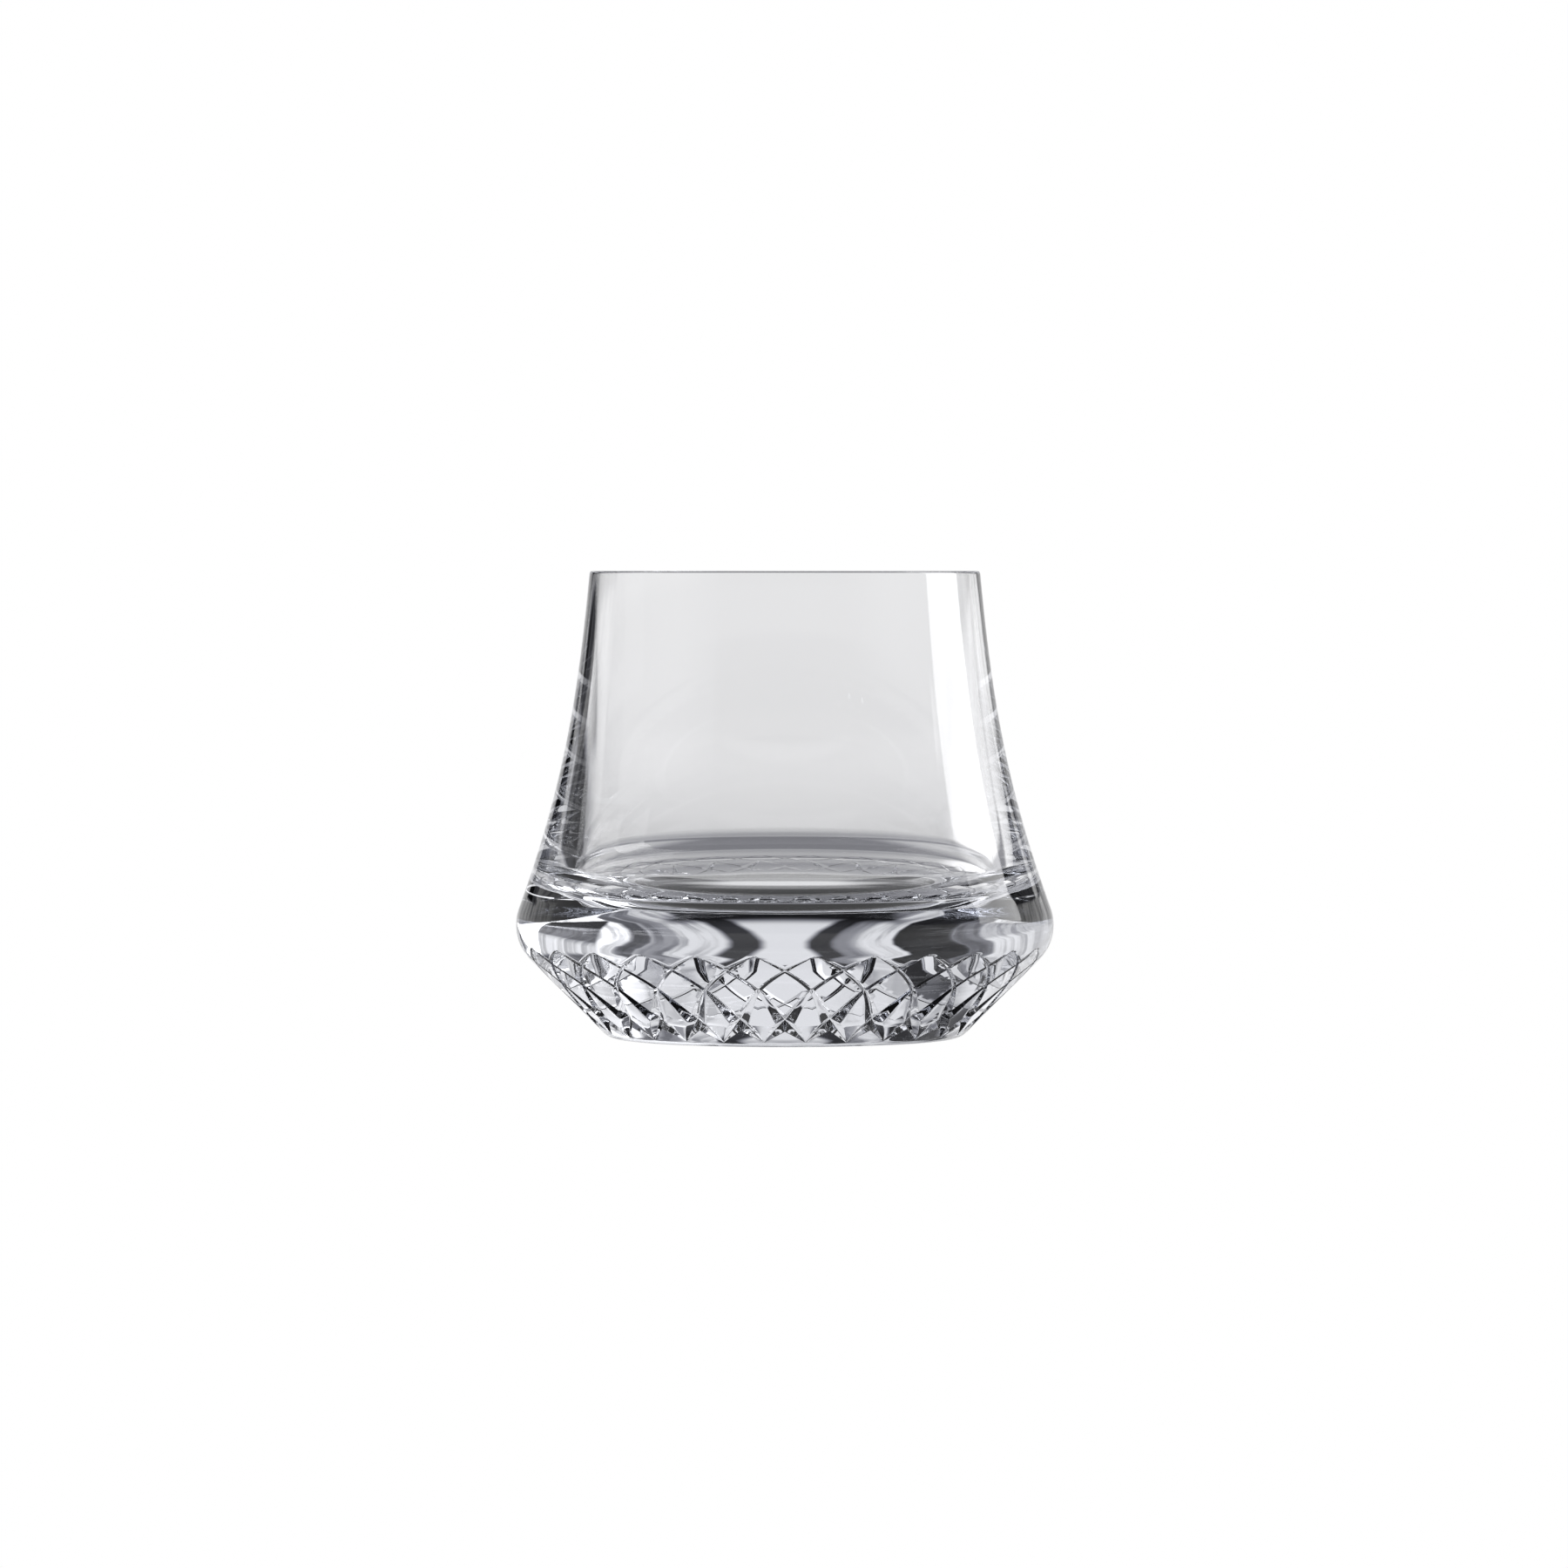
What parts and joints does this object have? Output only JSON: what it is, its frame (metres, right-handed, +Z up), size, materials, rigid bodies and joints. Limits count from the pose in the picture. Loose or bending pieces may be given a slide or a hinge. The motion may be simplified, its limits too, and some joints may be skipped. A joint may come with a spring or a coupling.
{
  "type": "whiskey tumbler",
  "caption": "Clear cut-crystal whiskey tumbler with a thick base, a cross-cut band around the foot cone and a wall that sweeps in to a thin rim.",
  "frame": {"origin": "centre of the flat foot, on the surface that the tumbler stands on", "axes": "+Z up along the tumbler's axis, from the foot to the rim"},
  "size_m": [0.098, 0.098, 0.085],
  "materials": {
    "clear_crystal": "clear polished crystal"
  },
  "bodies": {
    "root": {"glass_body": "clear_crystal"}
  },
  "joints": []
}
